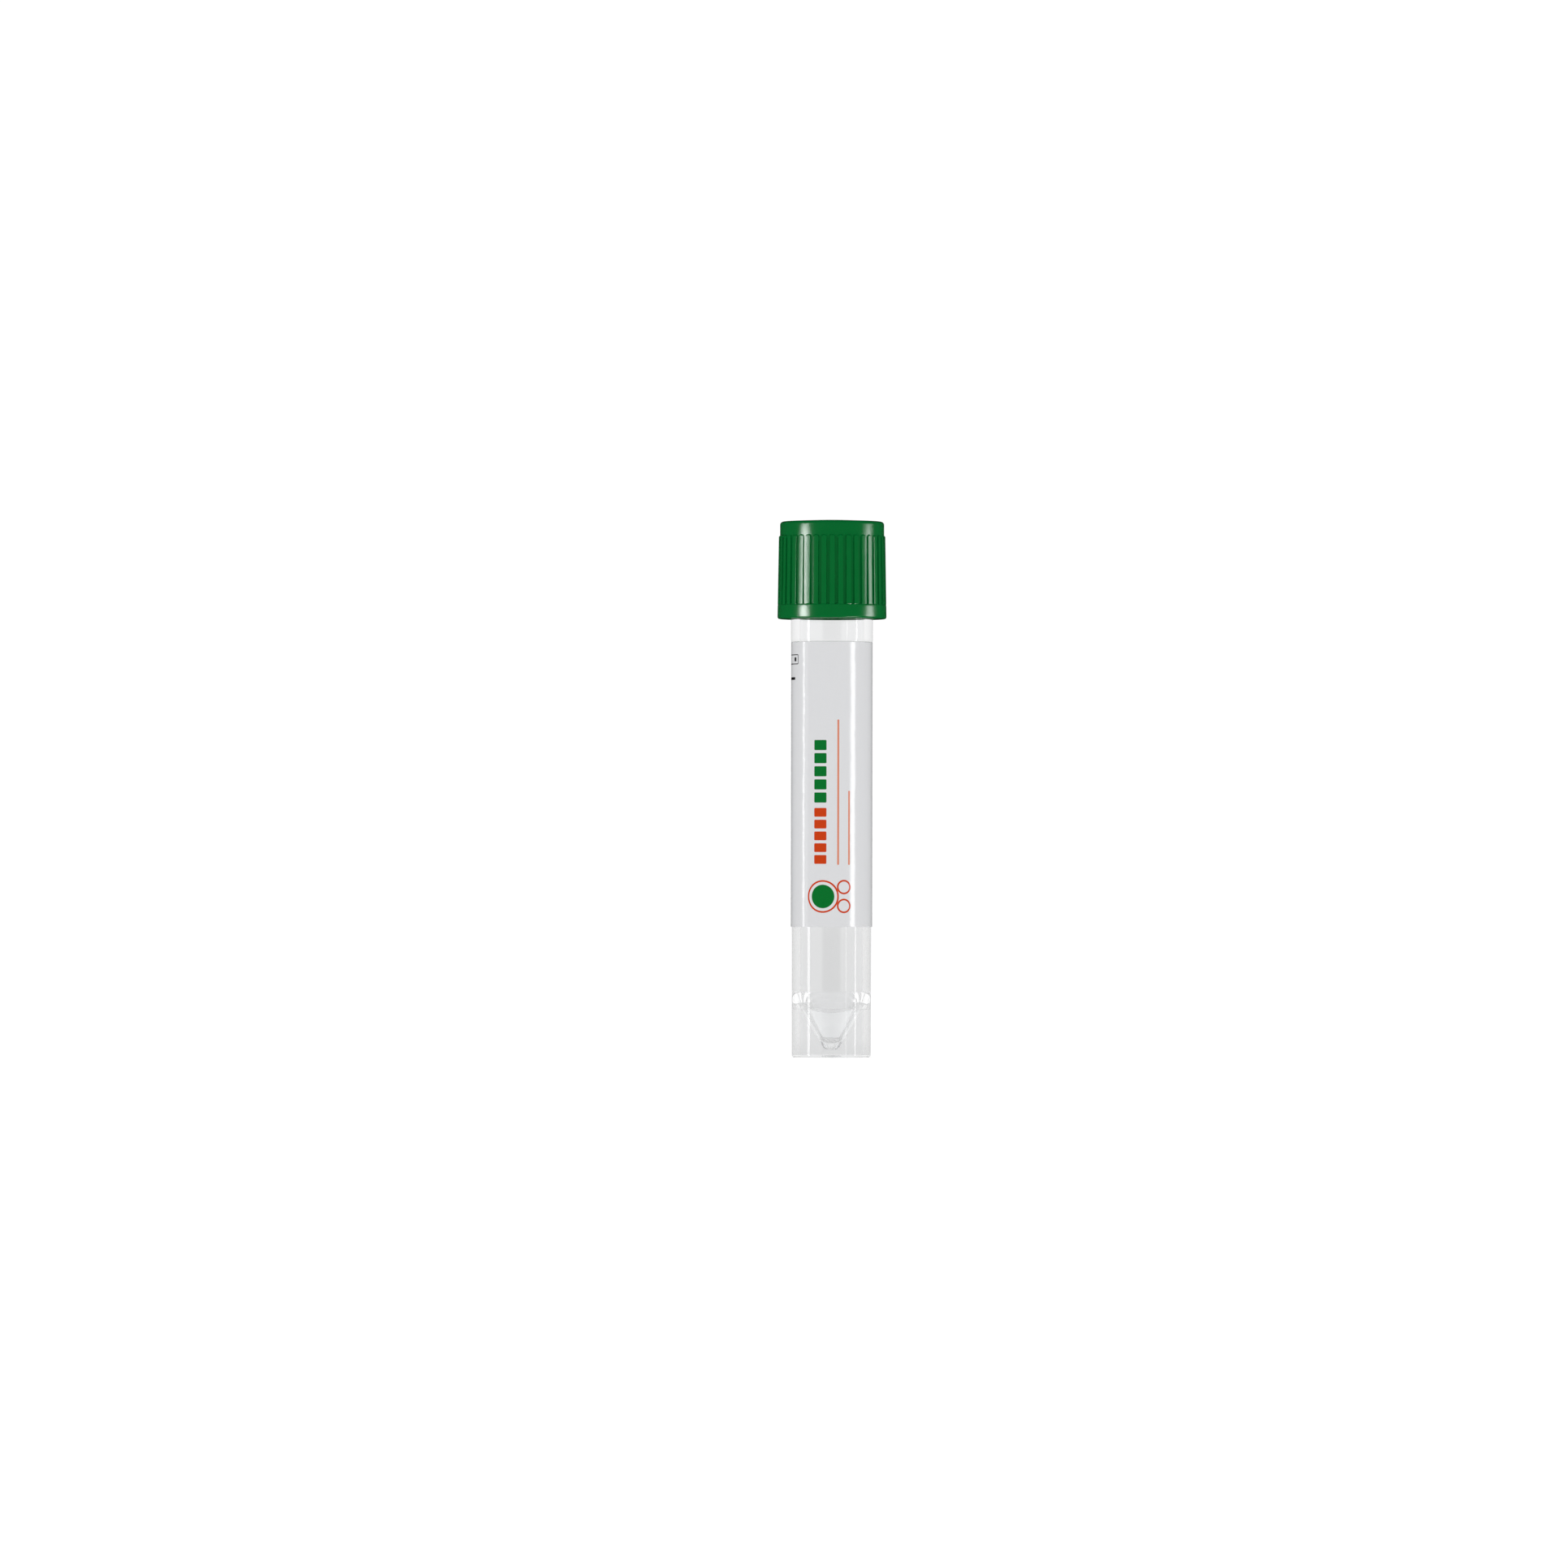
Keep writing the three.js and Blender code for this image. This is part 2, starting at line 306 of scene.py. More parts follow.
def makeLabel():
    # the film goes once round the barrel and then laps over its own start, at the back
    s = labelSizes
    low, high = labelLow.z, labelHigh.z
    piece = startPiece("film_label")
    outline = [
        (barrelRadius(low) - s["sunk"], low),
        (barrelRadius(low) + s["standAtFoot"], low, s["corner"]),
        (barrelRadius(high) + s["standAtTop"], high, s["corner"]),
        (barrelRadius(high) - s["sunk"], high),
        (barrelRadius(low) - s["sunk"], low),
    ]
    drawProfile(outline, roundSteps=3)
    bpy.ops.mesh.select_all(action='SELECT')
    bpy.ops.mesh.remove_doubles(threshold=samePlace)
    bpy.ops.mesh.edge_face_add()
    radius = s["standAtTop"] + tubeSizes["panelRadius"]
    stepAngle = fullTurn / s["columns"]
    lapSteps = round(s["lap"] / radius / stepAngle)
    rampSteps = round(s["rampLength"] / radius / stepAngle)
    bpy.ops.transform.rotate(value=-(fullTurn / 4 - stepAngle * lapSteps / 2), orient_axis='Z',
                             center_override=(0, 0, 0))
    reached = 1
    for step in range(1, s["columns"] + lapSteps + 1):
        pullOn(stepAngle, 0)
        share = min(max((step - s["columns"]) / rampSteps + 1, 0), 1)
        wanted = 1 + s["lapRise"] / radius * share * share * (3 - 2 * share)
        if wanted != reached:
            scaleFromAxis(wanted / reached)
            reached = wanted
    bpy.ops.mesh.select_all(action='SELECT')
    bpy.ops.mesh.normals_make_consistent(inside=False)
    finishPiece(piece, s["sharpAngle"])
    return piece


label = makeLabel()
print("label:", len(label.data.polygons), "faces")


# the screw cap
capSizes = {
    "top": 1.3,
    "wall": 1.04,
    "slopeWidth": 4.6,  # the top falls a little towards its corner
    "slopeDrop": 0.2,
    "cornerRounding": 0.5,
    "support": 0.1,  # rings this close to a turn keep the long faces even
    "topBand": 2.25,
    "mouthBand": 2.15,
    "mouthChamfer": 0.35,
    "mouthRounding": 0.3,
    "ribs": 40,
    "ribLift": 0.18,
    "ribWidth": 0.74,
    "ribEdges": [0.97, 1],  # the lift of its outermost columns, from the flank inwards
    "flankShift": 0.45,  # of a column, outwards, to steepen the flanks
    "ribArch": 0.3,  # the round upper end
    "ribRise": 0.2,  # from the band out to the crest
    "softDrop": 0.4,  # part way down this rise, the rib has come out by softLift of its lift
    "softLift": 0.45,
    "ribRunout": 0.12,
    "ribDraft": 0.9,  # degrees
    "grooveDraft": 0.4,  # degrees
    "columnsEachRib": 24,
    "ringReach": 0.01,  # a vertex this near to a ring belongs to it
    "threadTurns": 1.6,
    "threadInset": 1.8,
    "threadPlay": 0.2,
    "plugLength": 4.4,
    "plugWall": 0.8,
    "plugPlay": 0.08,
    "socketLength": 7.0,
    "socketRadius": 1.3,
    "socketWall": 0.9,
    "socketFlare": 0.5,
    "edge": 0.1,
    "inset": 0.3,
    "sharpAngle": 35,
}
capBore = neck + threadSizes["height"] + capSizes["threadPlay"]
ceiling = capHigh.z - capSizes["top"]
plugTip = ceiling - capSizes["plugLength"]
plugRadius = boreRadius(plugTip) - capSizes["plugPlay"]


def raiseRibs(height, floor, crest, arched=True):
    # lifts the rib columns of one ring of the outer wall out to their crests
    s = capSizes
    columns = s["ribs"] * s["columnsEachRib"]
    half = round(s["ribWidth"] / 2 / floor / fullTurn * columns)  # in columns
    for beside in range(-half, half + 1):
        out = abs(beside)
        edge = s["ribEdges"][min(half - out, len(s["ribEdges"]) - 1)]
        lift = (crest - floor) * edge
        drop = s["ribArch"] * (1 - math.sqrt(1 - (out / (half + 1)) ** 2)) if arched else 0

        def onRib(co):
            radius = math.hypot(co.x, co.y)
            column = round(math.atan2(co.y, co.x) / fullTurn * columns) - beside
            away = max(abs(co.z / mm - height), abs(radius / mm - floor))
            return away < s["ringReach"] and column % s["columnsEachRib"] == 0

        selectWhere(onRib)
        scaleFromAxis((floor + lift) / floor)
        bpy.ops.transform.translate(value=(0, 0, -drop * mm))
        if out == half:
            shift = math.copysign(s["flankShift"] * fullTurn / columns, beside)
            bpy.ops.transform.rotate(value=-shift, orient_axis='Z', center_override=(0, 0, 0))


def makeCap():
    s = capSizes
    mouth, top = capLow.z, capHigh.z
    band = capBore + s["wall"]
    ribTop = top - s["topBand"]
    bandTop = mouth + s["mouthBand"]

    def grooveAt(height):
        return band + math.tan(math.radians(s["grooveDraft"])) * (ribTop - height)

    def crestAt(height):
        return band + s["ribLift"] + math.tan(math.radians(s["ribDraft"])) * (ribTop - height)

    softEnd = ribTop - s["softDrop"] * s["ribRise"]
    ribEnd = ribTop - s["ribRise"]
    crestTop, crestFoot = ribEnd - s["support"], bandTop + s["support"]
    runoutEnd = bandTop - s["ribRunout"]
    piece = startPiece("green_cap")
    drawProfile([
        (0, top),
        (band - s["slopeWidth"], top, 4),
        (band, top - s["slopeDrop"], s["cornerRounding"], 10),
        (band, ribTop + s["support"]),
        (band, ribTop),
        (grooveAt(softEnd), softEnd),
        (grooveAt(ribEnd), ribEnd),
        (grooveAt(crestTop), crestTop),
        (grooveAt(crestFoot), crestFoot),
        (grooveAt(bandTop), bandTop),
        (crestAt(runoutEnd), runoutEnd, s["edge"]),
        (crestAt(runoutEnd - 2 * s["support"]), runoutEnd - 2 * s["support"]),
        (crestAt(mouth), mouth, s["mouthRounding"]),
        (capBore + s["mouthChamfer"], mouth, s["edge"]),
        (capBore, mouth + s["mouthChamfer"], s["edge"]),
        (capBore, ceiling, s["inset"]),
        (plugRadius, ceiling, s["edge"]),
        (plugRadius, plugTip + 2 * s["inset"], s["inset"]),
        (plugRadius - s["inset"], plugTip, s["edge"]),
        (plugRadius - s["plugWall"], plugTip, s["edge"]),
        (plugRadius - s["plugWall"], ceiling, s["edge"]),
        (s["socketRadius"] + s["socketWall"], ceiling, s["edge"]),
        (s["socketRadius"] + s["socketWall"], ceiling - s["socketLength"], s["edge"]),
        (s["socketRadius"] + s["socketFlare"], ceiling - s["socketLength"], s["edge"]),
        (s["socketRadius"], ceiling - s["socketLength"] + 2 * s["socketFlare"], s["edge"]),
        (s["socketRadius"], ceiling, s["edge"]),
        (0, ceiling),
    ], roundSteps=3)
    turnProfile(s["ribs"] * s["columnsEachRib"])
    raiseRibs(bandTop, grooveAt(bandTop), crestAt(bandTop), arched=False)
    raiseRibs(crestFoot, grooveAt(crestFoot), crestAt(crestFoot), arched=False)
    raiseRibs(crestTop, grooveAt(crestTop), crestAt(crestTop))
    raiseRibs(ribEnd, grooveAt(ribEnd), crestAt(ribEnd))
    raiseRibs(softEnd, grooveAt(softEnd), grooveAt(softEnd) + s["softLift"] * s["ribLift"])
    raiseRibs(ribTop, band, band)
    # the cap's thread runs just under the neck's, on the same helix
    t = threadSizes
    drop = (t["rootWidth"] + t["crestWidth"]) / 2 + t["flankPlay"]
    start = mouth + s["threadInset"]
    startTurn = (start + drop - neckThreadStart) / t["pitch"]
    bpy.ops.object.mode_set(mode='OBJECT')
    thread = makeThread("cap_thread", capBore, -1, start, startTurn, s["threadTurns"])
    uniteWith(piece, thread)
    finishPiece(piece, s["sharpAngle"])
    return piece


cap = makeCap()
print("cap:", len(cap.data.polygons), "faces")


# the seal washer
washerSizes = {
    "play": 0.08,  # round the plug ring
    "rounding": 0.12,
    "bevelShare": 0.25,  # of its thickness
    "columns": 192,
    "sharpAngle": 35,
}


def makeWasher():
    s = washerSizes
    inner, outer = plugRadius + s["play"], washerHigh.x
    low, high = washerLow.z, washerHigh.z
    bevel = (high - low) * s["bevelShare"]
    piece = startPiece("soft_washer")
    drawProfile([
        (inner, (low + high) / 2),
        (inner, low, s["rounding"]),
        (outer - bevel, low, s["rounding"]),
        (outer, (low + high) / 2, s["rounding"]),
        (outer - bevel, high, s["rounding"]),
        (inner, high, s["rounding"]),
        (inner, (low + high) / 2),
    ])
    turnProfile(s["columns"])
    finishPiece(piece, s["sharpAngle"])
    return piece


washer = makeWasher()
print("washer:", len(washer.data.polygons), "faces")


# materials: small helpers first, then shared groups, then one maker each
def joined(tree, kind, **values):
    # adds a node, with its settings and its inputs' values or links
    node = tree.nodes.new(kind)
    for name, value in values.items():
        if name.startswith("in_"):
            key = name[3:]
            socket = node.inputs[int(key)] if key.isdigit() else node.inputs[key.replace("_", " ")]
            if isinstance(value, bpy.types.NodeSocket):
                tree.links.new(value, socket)
            else:
                socket.default_value = value
        else:
            setattr(node, name, value)
    return node


def maths(tree, operation, first, second=0.0, third=0.0):
    node = joined(tree, "ShaderNodeMath", operation=operation, in_0=first, in_1=second, in_2=third)
    return node.outputs[0]


def mixed(tree, factor, first, second):
    node = joined(tree, "ShaderNodeMix", data_type='FLOAT', in_0=factor, in_2=first, in_3=second)
    return node.outputs[0]


def blended(tree, factor, first, second):
    # mixes two colours
    node = joined(tree, "ShaderNodeMix", data_type='RGBA', in_0=factor, in_6=first, in_7=second)
    return node.outputs[2]


def ranged(tree, value, low, high, first=0.0, second=1.0, curve='LINEAR'):
    # goes from first to second while the value goes from low to high
    node = joined(tree, "ShaderNodeMapRange", interpolation_type=curve, in_Value=value,
                  in_From_Min=low, in_From_Max=high, in_To_Min=first, in_To_Max=second)
    return node.outputs["Result"]


def eased(tree, value, low, high):
    return ranged(tree, value, low, high, curve='SMOOTHSTEP')


def objectPlace(tree):
    return joined(tree, "ShaderNodeTexCoord").outputs["Object"]


def splitUp(tree, vector):
    return joined(tree, "ShaderNodeSeparateXYZ", in_0=vector).outputs


def distanceOf(tree, vector):
    return joined(tree, "ShaderNodeVectorMath", operation='LENGTH', in_0=vector).outputs["Value"]


def startMaterial(name):
    material = bpy.data.materials.new(name)
    material.use_nodes = True
    return material, material.node_tree, material.node_tree.nodes["Principled BSDF"]


def bumpBy(tree, shader, height, distance):
    bump = joined(tree, "ShaderNodeBump", in_Height=height, in_Distance=distance)
    tree.links.new(bump.outputs[0], shader.inputs["Normal"])


def glowBy(material, shader, strength):
    # a surface that gives off white light, though it isn't a lamp
    material.cycles.emission_sampling = 'NONE'
    material.node_tree.links.new(strength, shader.inputs["Emission Strength"])
    shader.inputs["Emission Color"].default_value = (1, 1, 1, 1)


def newGroup(name, inputs, outputs):
    group = bpy.data.node_groups.new(name, "ShaderNodeTree")
    for socketName, kind, value in inputs:
        socket = group.interface.new_socket(name=socketName, in_out='INPUT', socket_type=kind)
        if value is not None:
            socket.default_value = value
    for socketName, kind in outputs:
        group.interface.new_socket(name=socketName, in_out='OUTPUT', socket_type=kind)
    given = group.nodes.new("NodeGroupInput").outputs
    return group, given, group.nodes.new("NodeGroupOutput").inputs


def useGroup(tree, group, **values):
    return joined(tree, "ShaderNodeGroup", node_tree=group, **values)


grainLook = {
    "fineDetail": 3.0,
    "fineRoughness": 0.6,
    "broadDetail": 2.0,
}


def makeSurfaceGroup():
    # moulded or cast skin: a fine grain over broader waves, and the broad part alone as a mask
    group, given, out = newGroup(
        "surfaceGrain",
        [("Vector", "NodeSocketVector", None),
         ("Fine Scale", "NodeSocketFloat", 8000.0),
         ("Broad Scale", "NodeSocketFloat", 400.0),
         ("Broad Share", "NodeSocketFloat", 0.5)],
        [("Height", "NodeSocketFloat"), ("Broad", "NodeSocketFloat")])
    fine = joined(group, "ShaderNodeTexNoise", in_Vector=given["Vector"],
                  in_Scale=given["Fine Scale"], in_Detail=grainLook["fineDetail"],
                  in_Roughness=grainLook["fineRoughness"]).outputs["Fac"]
    broad = joined(group, "ShaderNodeTexNoise", in_Vector=given["Vector"],
                   in_Scale=given["Broad Scale"],
                   in_Detail=grainLook["broadDetail"]).outputs["Fac"]
    group.links.new(mixed(group, given["Broad Share"], fine, broad), out["Height"])
    group.links.new(broad, out["Broad"])
    return group


def makePrintGroup():
    # one printed mark: a filled or outlined shape with rounded corners. A disc is a square whose
    # corners are as large as its half width
    group, given, out = newGroup(
        "printedMark",
        [("Across", "NodeSocketFloat", 0.0),
         ("Up", "NodeSocketFloat", 0.0),
         ("Centre Across", "NodeSocketFloat", 0.0),
         ("Centre Up", "NodeSocketFloat", 0.0),
         ("Half Width", "NodeSocketFloat", 1.0),
         ("Half Height", "NodeSocketFloat", 1.0),
         ("Corner", "NodeSocketFloat", 0.2),
         ("Line", "NodeSocketFloat", 0.0),
         ("Soft", "NodeSocketFloat", 0.04)],
        [("Mask", "NodeSocketFloat")])

    def past(place, centre, half):
        away = maths(group, 'ABSOLUTE', maths(group, 'SUBTRACT', given[place], given[centre]))
        return maths(group, 'ADD', maths(group, 'SUBTRACT', away, given[half]), given["Corner"])

    across = past("Across", "Centre Across", "Half Width")
    up = past("Up", "Centre Up", "Half Height")
    outAcross = maths(group, 'MAXIMUM', across, 0.0)
    outUp = maths(group, 'MAXIMUM', up, 0.0)
    squared = maths(group, 'ADD', maths(group, 'MULTIPLY', outAcross, outAcross),
                    maths(group, 'MULTIPLY', outUp, outUp))
    inside = maths(group, 'MINIMUM', maths(group, 'MAXIMUM', across, up), 0.0)
    distance = maths(group, 'SUBTRACT', maths(group, 'ADD', maths(group, 'SQRT', squared), inside),
                     given["Corner"])
    lineEdge = maths(group, 'SUBTRACT', maths(group, 'ABSOLUTE', distance),
                     maths(group, 'MULTIPLY', given["Line"], 0.5))
    outlined = maths(group, 'GREATER_THAN', given["Line"], 0.0)
    edge = mixed(group, outlined, distance, lineEdge)
    mask = eased(group, edge, given["Soft"], maths(group, 'MULTIPLY', given["Soft"], -1.0))
    group.links.new(mask, out["Mask"])
    return group


surfaceGrain = makeSurfaceGroup()
printedMark = makePrintGroup()

clearLook = {
    "colour": (0.995, 0.998, 1, 1),
    "roughness": 0.03,
    "ior": 1.49,
    "streaks": (900, 900, 12),  # draw marks run up the wall
    "broad": 0.25,
    "broadShare": 0.6,
    "bump": 0.000002,
    "deep": 7,  # light that has turned this often inside the wall
    "glow": 0.033,  # painted light: the wall glows this bright there, in place of light that is lost inside it
}


def makeClearPlastic():
    material, tree, shader = startMaterial("clear_plastic")
    shader.inputs["Base Color"].default_value = clearLook["colour"]
    shader.inputs["Roughness"].default_value = clearLook["roughness"]
    shader.inputs["IOR"].default_value = clearLook["ior"]
    shader.inputs["Transmission Weight"].default_value = 1.0
    # painted light: the wall glows wherever a ray has turned many times inside it
    depth = joined(tree, "ShaderNodeLightPath").outputs["Ray Depth"]
    deep = maths(tree, 'GREATER_THAN', depth, clearLook["deep"])
    glowBy(material, shader, maths(tree, 'MULTIPLY', deep, clearLook["glow"]))
    stretched = joined(tree, "ShaderNodeMapping", in_Vector=objectPlace(tree),
                       in_Scale=clearLook["streaks"])
    grain = useGroup(tree, surfaceGrain, in_Vector=stretched.outputs[0], in_Fine_Scale=1.0,
                     in_Broad_Scale=clearLook["broad"], in_Broad_Share=clearLook["broadShare"])
    bumpBy(tree, shader, grain.outputs["Height"], clearLook["bump"])
    return material


filmLook = {
    "white": (0.81, 0.815, 0.83, 1),
    "roughness": 0.16,
    "waves": (320, 320, 520),
    "broad": 0.2,
    "broadShare": 0.5,
    "bump": 0.0001,
    "orange": (0.66, 0.052, 0.002, 1),
    "paleOrange": (0.80, 0.26, 0.15, 1),
    "green": (0.0, 0.185, 0.026, 1),
    "black": (0.01, 0.01, 0.01, 1),
    "through": 0.2,  # painted glow on the film's inner side, in place of light that comes through the film
    "innerReach": 0.05,  # what lies this near to the barrel is the inner side
}
# each mark: colour, place round the barrel from the front and up it, half sizes, corner, line width
marks = [
    ("green", -1.35, 23.93, 1.75, 1.75, 1.75, 0),
    ("orange", -1.35, 23.93, 2.3, 2.3, 2.3, 0.26),
    ("orange", 1.85, 25.33, 0.95, 0.95, 0.95, 0.26),
    ("orange", 1.85, 22.53, 0.95, 0.95, 0.95, 0.26),
    ("paleOrange", 0.95, 39.43, 0.14, 10.8, 0.1, 0),
    ("paleOrange", 2.65, 34.13, 0.14, 5.5, 0.1, 0),
    ("black", -7.7, 59.23, 1.75, 0.68, 0.12, 0.13),
    ("black", -6.75, 59.23, 0.3, 0.3, 0.05, 0),
    ("black", -8.0, 56.38, 1.2, 0.2, 0.05, 0),
]
# each row of blocks: colour, how many, height of the lowest, spacing and half height
blockRows = [
    ("orange", 5, 29.43, 1.75, 0.66),
    ("green", 5, 38.63, 1.95, 0.76),
]
for name, count, lowest, spacing, halfHeight in blockRows:
    for index in range(count):
        marks.append((name, -1.75, lowest + spacing * index, 0.95, halfHeight, 0.16, 0))


def makeFilm():
    material, tree, shader = startMaterial("label_film")
    place = objectPlace(tree)
    part = splitUp(tree, place)
    angle = maths(tree, 'ARCTAN2', part["X"], maths(tree, 'MULTIPLY', part["Y"], -1.0))
    across = maths(tree, 'MULTIPLY', angle, labelHigh.x)
    up = maths(tree, 'MULTIPLY', part["Z"], 1 / mm)
    colour = joined(tree, "ShaderNodeRGB").outputs[0]
    colour.default_value = filmLook["white"]
    for name, atAcross, atUp, halfWidth, halfHeight, corner, line in marks:
        mark = useGroup(tree, printedMark, in_Across=across, in_Up=up, in_Centre_Across=atAcross,
                        in_Centre_Up=atUp, in_Half_Width=halfWidth, in_Half_Height=halfHeight,
                        in_Corner=corner, in_Line=line)
        colour = blended(tree, mark.outputs["Mask"], colour, filmLook[name])
    tree.links.new(colour, shader.inputs["Base Color"])
    shader.inputs["Roughness"].default_value = filmLook["roughness"]
    # painted light: the film's inner side, seen through the clear wall, glows as if lit through the
    # film
    flat = joined(tree, "ShaderNodeCombineXYZ", in_X=part["X"], in_Y=part["Y"]).outputs[0]
    innerLimit = (tubeSizes["panelRadius"] + filmLook["innerReach"]) * mm
    inner = maths(tree, 'LESS_THAN', distanceOf(tree, flat), innerLimit)
    glowBy(material, shader, maths(tree, 'MULTIPLY', inner, filmLook["through"]))
    waved = joined(tree, "ShaderNodeMapping", in_Vector=place, in_Scale=filmLook["waves"])
    grain = useGroup(tree, surfaceGrain, in_Vector=waved.outputs[0], in_Fine_Scale=1.0,
                     in_Broad_Scale=filmLook["broad"], in_Broad_Share=filmLook["broadShare"])
    bumpBy(tree, shader, grain.outputs["Height"], filmLook["bump"])
    return material


def startClouded(name, look):
    # an opaque material whose colour and roughness drift with the broad part of its grain
    material, tree, shader = startMaterial(name)
    grain = useGroup(tree, surfaceGrain, in_Vector=objectPlace(tree), in_Fine_Scale=look["grain"],
                     in_Broad_Scale=look["cloud"], in_Broad_Share=look["cloudShare"])
    colour = blended(tree, grain.outputs["Broad"], look["colour"], look["clouded"])
    rough = ranged(tree, grain.outputs["Broad"], 0.0, 1.0, look["smooth"], look["rough"])
    tree.links.new(colour, shader.inputs["Base Color"])
    tree.links.new(rough, shader.inputs["Roughness"])
    bumpBy(tree, shader, grain.outputs["Height"], look["bump"])
    return material, shader, rough


capLook = {
    "colour": (0.0003, 0.146, 0.0268, 1),
    "clouded": (0.0007, 0.154, 0.030, 1),
    "smooth": 0.14,
    "rough": 0.18,
    "top": 0.8,  # the flat top is matt
    "topFacing": (0.85, 0.97),  # how far up a face looks there
    "specular": 0.25,
    "grain": 9500,
    "cloud": 350,
    "cloudShare": 0.15,
    "bump": 0.000013,
}


def makeGreenPlastic():
    material, shader, rough = startClouded("green_plastic", capLook)
    tree = material.node_tree
    upwards = splitUp(tree, joined(tree, "ShaderNodeTexCoord").outputs["Normal"])["Z"]
    rough = ranged(tree, upwards, *capLook["topFacing"], rough, capLook["top"])
    tree.links.new(rough, shader.inputs["Roughness"])
    shader.inputs["Specular IOR Level"].default_value = capLook["specular"]
    return material


softLook = {
    "colour": (0.72, 0.70, 0.65, 1),
    "clouded": (0.66, 0.64, 0.60, 1),
    "smooth": 0.5,
    "rough": 0.66,
    "subsurface": 0.2,
    "subsurfaceScale": 0.0005,
    "grain": 5000,
    "cloud": 500,
    "cloudShare": 0.5,
    "bump": 0.00001,
}


def makeSilicone():
    material, shader = startClouded("silicone", softLook)[:2]
    shader.inputs["Subsurface Weight"].default_value = softLook["subsurface"]
    shader.inputs["Subsurface Scale"].default_value = softLook["subsurfaceScale"]
    return material


dressing = [
    (tube, "tube", "tube", "clear_plastic", makeClearPlastic()),
    (label, "label", "tube", "label_film", makeFilm()),
    (washer, "seal_washer", "seal", "silicone", makeSilicone()),
    (cap, "screw_cap", "cap", "green_plastic", makeGreenPlastic()),
]
for piece, node, body, slot, material in dressing:
    piece.data.materials.append(material)
    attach(piece, body)
    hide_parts(node)
print("pieces dressed:", len(dressing))


# floor, light and camera
roomLight = {
    # what is seen through clear walls, by degrees from straight in front
    "seenThrough": [(0, 0.35), (28, 0.35), (36, 1.0), (120, 0.95), (150, 0.92), (180, 0.86)],
    "steep": 0.86,  # seen through clear walls, far up or down
    "steepRange": (0.05, 0.18),
    "mirrored": 0.02,  # surfaces mirror a dark room with its bright lamps, so colours stay deep
    "fill": 1.25,  # soft light on matt surfaces, from the sides and below
    "fillAbove": 0.05,
    "aboveRange": (0.45, 0.85),
    "backdrop": 1.05,
}


def makeRoomGroup():
    # how bright the room is in the direction or at the place (X, Y)
    group, given, out = newGroup(
        "roomBrightness",
        [("X", "NodeSocketFloat", 0.0), ("Y", "NodeSocketFloat", 0.0)],
        [("Level", "NodeSocketFloat")])
    behind = maths(group, 'MULTIPLY', given["Y"], -1.0)
    angle = maths(group, 'ABSOLUTE', maths(group, 'ARCTAN2', given["X"], behind))
    ramp = joined(group, "ShaderNodeValToRGB", in_0=maths(group, 'DIVIDE', angle, math.pi))
    stops = ramp.color_ramp.elements
    while len(stops) < len(roomLight["seenThrough"]):
        stops.new(0.5)
    for stop, (degrees, level) in zip(stops, roomLight["seenThrough"]):
        stop.position = degrees / 180
        stop.color = (level, level, level, 1)
    group.links.new(ramp.outputs["Color"], out["Level"])
    return group


roomBrightness = makeRoomGroup()


def makeRoom():
    world = bpy.data.worlds.new("room")
    bpy.context.scene.world = world
    world.use_nodes = True
    world.cycles.sampling_method = 'NONE'
    tree = world.node_tree
    shade = tree.nodes["Background"]
    shade.inputs["Color"].default_value = (1, 1, 1, 1)
    part = splitUp(tree, joined(tree, "ShaderNodeTexCoord").outputs["Generated"])
    room = useGroup(tree, roomBrightness, in_X=part["X"], in_Y=part["Y"]).outputs["Level"]
    above = eased(tree, part["Z"], *roomLight["aboveRange"])
    fill = mixed(tree, above, roomLight["fill"], roomLight["fillAbove"])
    steep = eased(tree, maths(tree, 'ABSOLUTE', part["Z"]), *roomLight["steepRange"])
    through = mixed(tree, steep, room, roomLight["steep"])
    path = joined(tree, "ShaderNodeLightPath").outputs
    # light that passed through a clear wall counts as glossy too, so it comes last but one
    level = mixed(tree, path["Is Glossy Ray"], fill, roomLight["mirrored"])
    level = mixed(tree, path["Is Transmission Ray"], level, through)
    level = mixed(tree, path["Is Camera Ray"], level, roomLight["backdrop"])
    tree.links.new(level, shade.inputs["Strength"])


floorLook = {
    "size": 30,
    "albedo": 0.5,
    "base": 0.39,  # the light it sends back of itself, taken off where it is seen through
    "lift": 0.78,  # what the camera sees is lifted to a clean white
    "bounce": 0.55,  # more light thrown back up at matt surfaces
    "under": 0.83,  # painted light: seen through clear walls, the floor right under the tube glows this bright, where it would lie in shade
    "underRange": (0.008, 0.03),
    "farRange": (0.1, 0.4),
}


